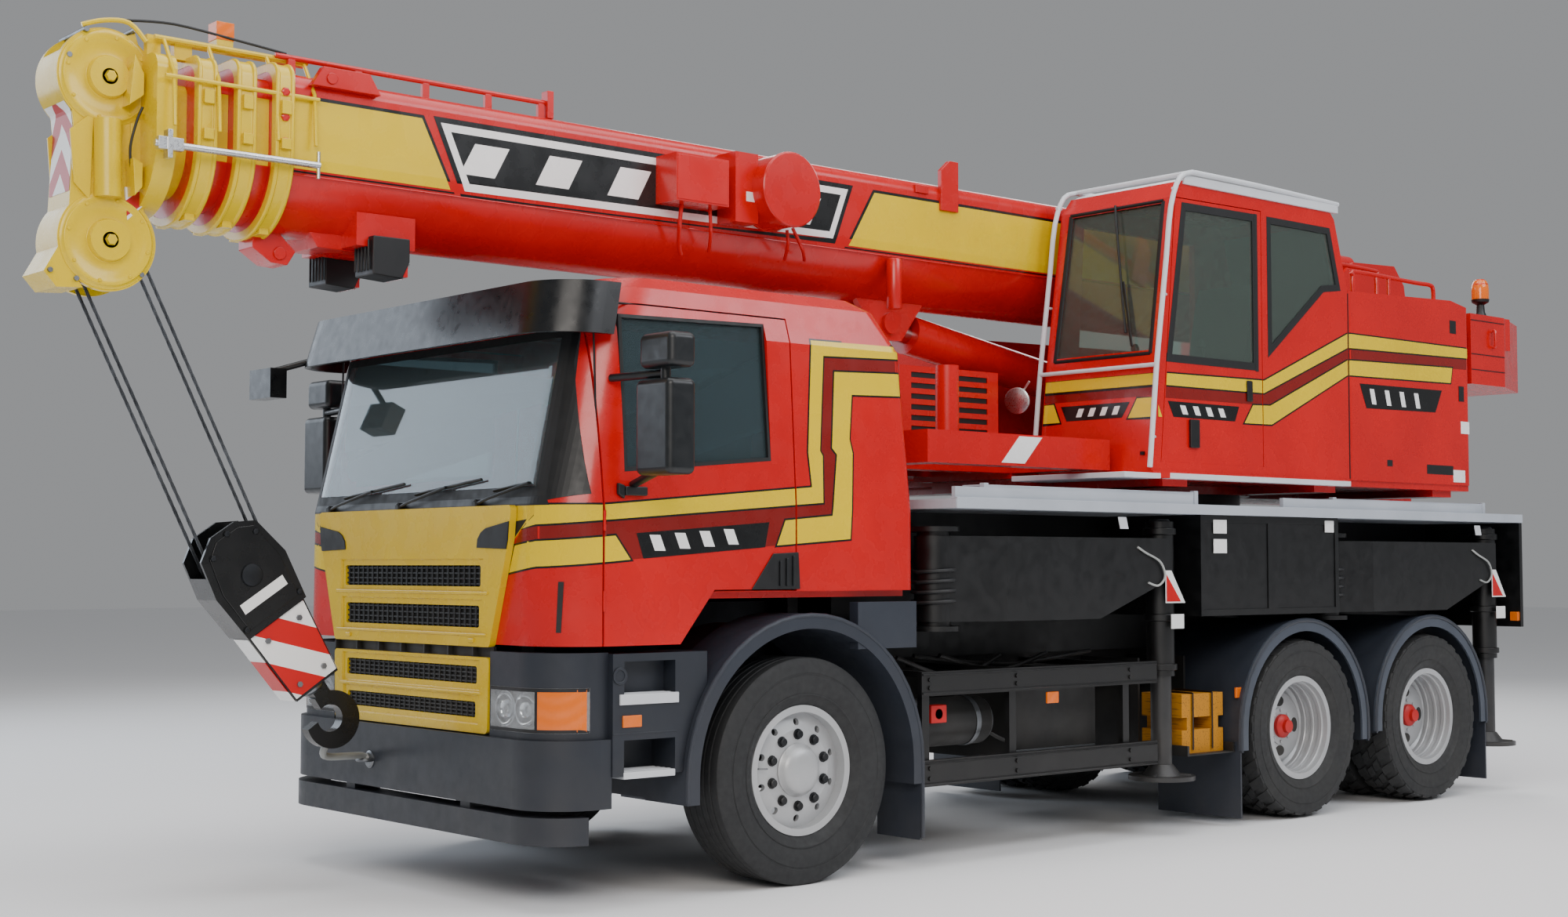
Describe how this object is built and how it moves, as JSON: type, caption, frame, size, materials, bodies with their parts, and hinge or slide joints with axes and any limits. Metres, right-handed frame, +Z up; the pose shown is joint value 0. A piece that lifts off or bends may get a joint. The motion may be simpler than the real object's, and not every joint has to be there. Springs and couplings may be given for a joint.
{
  "type": "three-axle mobile crane",
  "caption": "Mobile crane on a truck carrier: slewing superstructure, telescopic boom lying forward over the cab, swing-out outriggers and a lashed hook block.",
  "frame": {"origin": "on the ground at the middle of the overall box", "axes": "+X forward over the driver's cab, +Y to the left, +Z up"},
  "size_m": [10.03, 3.25, 3.845],
  "materials": {
    "red_paint": "gloss",
    "yellow_paint": "gloss",
    "black_paint": "satin",
    "frame_paint": "satin",
    "grey_plastic": "textured",
    "black_plastic": "satin",
    "silver_paint": "satin",
    "deck_metal": "brushed",
    "clear_glass": "polished",
    "lamp_glass": "polished",
    "tyre_rubber": "matte",
    "forged_iron": "rough",
    "rod_steel": "polished",
    "rope_steel": "oiled",
    "seat_cloth": "woven",
    "timber": "painted"
  },
  "bodies": {
    "carrier": {"chassis_frame": "frame_paint", "engine": "forged_iron", "axles": "forged_iron", "crane_subframe": "black_paint", "deck": "deck_metal", "mudguards": "grey_plastic", "side_guards": "black_paint", "bumper": "grey_plastic", "truck_cab": "red_paint", "cab_interior": "seat_cloth", "windscreen": "clear_glass", "sun_visor": "black_plastic", "grille": "yellow_paint", "headlamps": "lamp_glass", "tanks": "black_paint", "timber_rack": "black_paint", "timber_blocks": "timber"},
    "knuckle_left": {"knuckle_left": "forged_iron"},
    "front_wheel_left": {"wheel_front_left": "silver_paint", "tyre_front_left": "tyre_rubber"},
    "middle_wheels_left": {"wheels_middle_left": "silver_paint", "tyres_middle_left": "tyre_rubber"},
    "rear_wheels_left": {"wheels_rear_left": "silver_paint", "tyres_rear_left": "tyre_rubber"},
    "door_left": {"door_left": "red_paint", "mirror_left": "black_plastic"},
    "outrigger_leg_front_left": {"outrigger_leg_front_left": "black_paint"},
    "outrigger_jack_front_left": {"outrigger_jack_front_left": "silver_paint"},
    "outrigger_leg_rear_left": {"outrigger_leg_rear_left": "black_paint"},
    "outrigger_jack_rear_left": {"outrigger_jack_rear_left": "silver_paint"},
    "knuckle_right": {"knuckle_right": "forged_iron"},
    "front_wheel_right": {"wheel_front_right": "silver_paint", "tyre_front_right": "tyre_rubber"},
    "middle_wheels_right": {"wheels_middle_right": "silver_paint", "tyres_middle_right": "tyre_rubber"},
    "rear_wheels_right": {"wheels_rear_right": "silver_paint", "tyres_rear_right": "tyre_rubber"},
    "door_right": {"door_right": "red_paint", "mirror_right": "black_plastic"},
    "outrigger_leg_front_right": {"outrigger_leg_front_right": "black_paint"},
    "outrigger_jack_front_right": {"outrigger_jack_front_right": "silver_paint"},
    "outrigger_leg_rear_right": {"outrigger_leg_rear_right": "black_paint"},
    "outrigger_jack_rear_right": {"outrigger_jack_rear_right": "silver_paint"},
    "superstructure": {"turntable": "red_paint", "hoist_winch": "rope_steel", "crane_cab": "red_paint", "crane_cab_door": "red_paint", "operator_seat": "seat_cloth", "engine_housing": "red_paint", "counterweight": "red_paint"},
    "luff_barrel": {"luff_barrel": "red_paint"},
    "luff_rod": {"luff_rod": "rod_steel"},
    "boom_base": {"boom_base": "red_paint", "cable_reel": "red_paint"},
    "boom_section_1": {"boom_section_1": "red_paint"},
    "boom_section_2": {"boom_section_2": "red_paint"},
    "boom_section_3": {"boom_section_3": "yellow_paint", "head_sheaves": "forged_iron"},
    "hoist_falls": {"hoist_ropes": "rope_steel"},
    "hook_block": {"hook_block": "black_paint"}
  },
  "joints": [
    {"name": "steer_left", "type": "hinge", "parent": "carrier", "child": "knuckle_left", "pos_m": [1.8, 0.85, 0.53], "axis": [0, 0, 1], "range_deg": [-38, 38]},
    {"name": "front_wheel_spin_left", "type": "hinge", "parent": "knuckle_left", "child": "front_wheel_left", "pos_m": [1.8, 1.055, 0.53], "axis": [0, 1, 0], "continuous": true},
    {"name": "middle_wheels_spin_left", "type": "hinge", "parent": "carrier", "child": "middle_wheels_left", "pos_m": [-2.12, 1.083, 0.53], "axis": [0, 1, 0], "continuous": true},
    {"name": "rear_wheels_spin_left", "type": "hinge", "parent": "carrier", "child": "rear_wheels_left", "pos_m": [-3.48, 1.083, 0.53], "axis": [0, 1, 0], "continuous": true},
    {"name": "door_swing_left", "type": "hinge", "parent": "carrier", "child": "door_left", "pos_m": [2.965, 1.207, 1.7], "axis": [0, 0, -1], "range_deg": [0, 70]},
    {"name": "outrigger_swing_front_left", "type": "hinge", "parent": "carrier", "child": "outrigger_leg_front_left", "pos_m": [0.79, 1.04, 1.42], "axis": [0, 0, -1], "range_deg": [0, 80]},
    {"name": "outrigger_jack_front_left", "type": "slide", "parent": "outrigger_leg_front_left", "child": "outrigger_jack_front_left", "axis": [0, 0, -1], "range_m": [0, 0.45]},
    {"name": "outrigger_swing_rear_left", "type": "hinge", "parent": "carrier", "child": "outrigger_leg_rear_left", "pos_m": [-2.62, 1.04, 1.42], "axis": [0, 0, -1], "range_deg": [0, 80]},
    {"name": "outrigger_jack_rear_left", "type": "slide", "parent": "outrigger_leg_rear_left", "child": "outrigger_jack_rear_left", "axis": [0, 0, -1], "range_m": [0, 0.45]},
    {"name": "steer_right", "type": "hinge", "parent": "carrier", "child": "knuckle_right", "pos_m": [1.8, -0.85, 0.53], "axis": [0, 0, 1], "range_deg": [-38, 38]},
    {"name": "front_wheel_spin_right", "type": "hinge", "parent": "knuckle_right", "child": "front_wheel_right", "pos_m": [1.8, -1.055, 0.53], "axis": [0, 1, 0], "continuous": true},
    {"name": "middle_wheels_spin_right", "type": "hinge", "parent": "carrier", "child": "middle_wheels_right", "pos_m": [-2.12, -1.083, 0.53], "axis": [0, 1, 0], "continuous": true},
    {"name": "rear_wheels_spin_right", "type": "hinge", "parent": "carrier", "child": "rear_wheels_right", "pos_m": [-3.48, -1.083, 0.53], "axis": [0, 1, 0], "continuous": true},
    {"name": "door_swing_right", "type": "hinge", "parent": "carrier", "child": "door_right", "pos_m": [2.965, -1.207, 1.7], "axis": [0, 0, 1], "range_deg": [0, 70]},
    {"name": "outrigger_swing_front_right", "type": "hinge", "parent": "carrier", "child": "outrigger_leg_front_right", "pos_m": [0.79, -1.04, 1.42], "axis": [0, 0, 1], "range_deg": [0, 80]},
    {"name": "outrigger_jack_front_right", "type": "slide", "parent": "outrigger_leg_front_right", "child": "outrigger_jack_front_right", "axis": [0, 0, -1], "range_m": [0, 0.45]},
    {"name": "outrigger_swing_rear_right", "type": "hinge", "parent": "carrier", "child": "outrigger_leg_rear_right", "pos_m": [-2.62, -1.04, 1.42], "axis": [0, 0, 1], "range_deg": [0, 80]},
    {"name": "outrigger_jack_rear_right", "type": "slide", "parent": "outrigger_leg_rear_right", "child": "outrigger_jack_rear_right", "axis": [0, 0, -1], "range_m": [0, 0.45]},
    {"name": "slew", "type": "hinge", "parent": "carrier", "child": "superstructure", "pos_m": [-2.1, 0, 1.925], "axis": [0, 0, 1], "continuous": true},
    {"name": "boom_luff", "type": "hinge", "parent": "superstructure", "child": "boom_base", "pos_m": [-4.35, 0, 3.33], "axis": [0, -1, 0], "range_deg": [0, 82]},
    {"name": "barrel_tilt", "type": "hinge", "parent": "superstructure", "child": "luff_barrel", "pos_m": [-3.1, 0, 2.32], "axis": [0, -1, 0], "range_deg": [0, 82.31]},
    {"name": "rod_extend", "type": "slide", "parent": "luff_barrel", "child": "luff_rod", "axis": [0.9869, 0, 0.1615], "range_m": [0, 2.1086]},
    {"name": "telescope_1", "type": "slide", "parent": "boom_base", "child": "boom_section_1", "axis": [1, 0, 0], "range_m": [0, 6.93]},
    {"name": "telescope_2", "type": "slide", "parent": "boom_section_1", "child": "boom_section_2", "axis": [1, 0, 0], "range_m": [0, 6.93]},
    {"name": "telescope_3", "type": "slide", "parent": "boom_section_2", "child": "boom_section_3", "axis": [1, 0, 0], "range_m": [0, 6.93]},
    {"name": "hook_swing", "type": "hinge", "parent": "boom_section_3", "child": "hoist_falls", "pos_m": [4.75, 0, 2.85], "axis": [0, 1, 0], "range_deg": [0, 56.01]},
    {"name": "hook_hoist", "type": "slide", "parent": "hoist_falls", "child": "hook_block", "axis": [0.4384, 0, 0.8988], "range_m": [0, 0.6], "deforming": ["hoist_ropes"]}
  ],
  "couplings": [
    {"joint": "steer_right", "follows": "steer_left", "ratio": 1},
    {"joint": "barrel_tilt", "follows": "boom_luff", "ratio": 1.0036},
    {"joint": "rod_extend", "follows": "boom_luff", "m_per_rad": 1.4733},
    {"joint": "telescope_2", "follows": "telescope_1", "ratio": 1},
    {"joint": "telescope_3", "follows": "telescope_1", "ratio": 1},
    {"joint": "hook_swing", "follows": "boom_luff", "ratio": 0.68293}
  ]
}
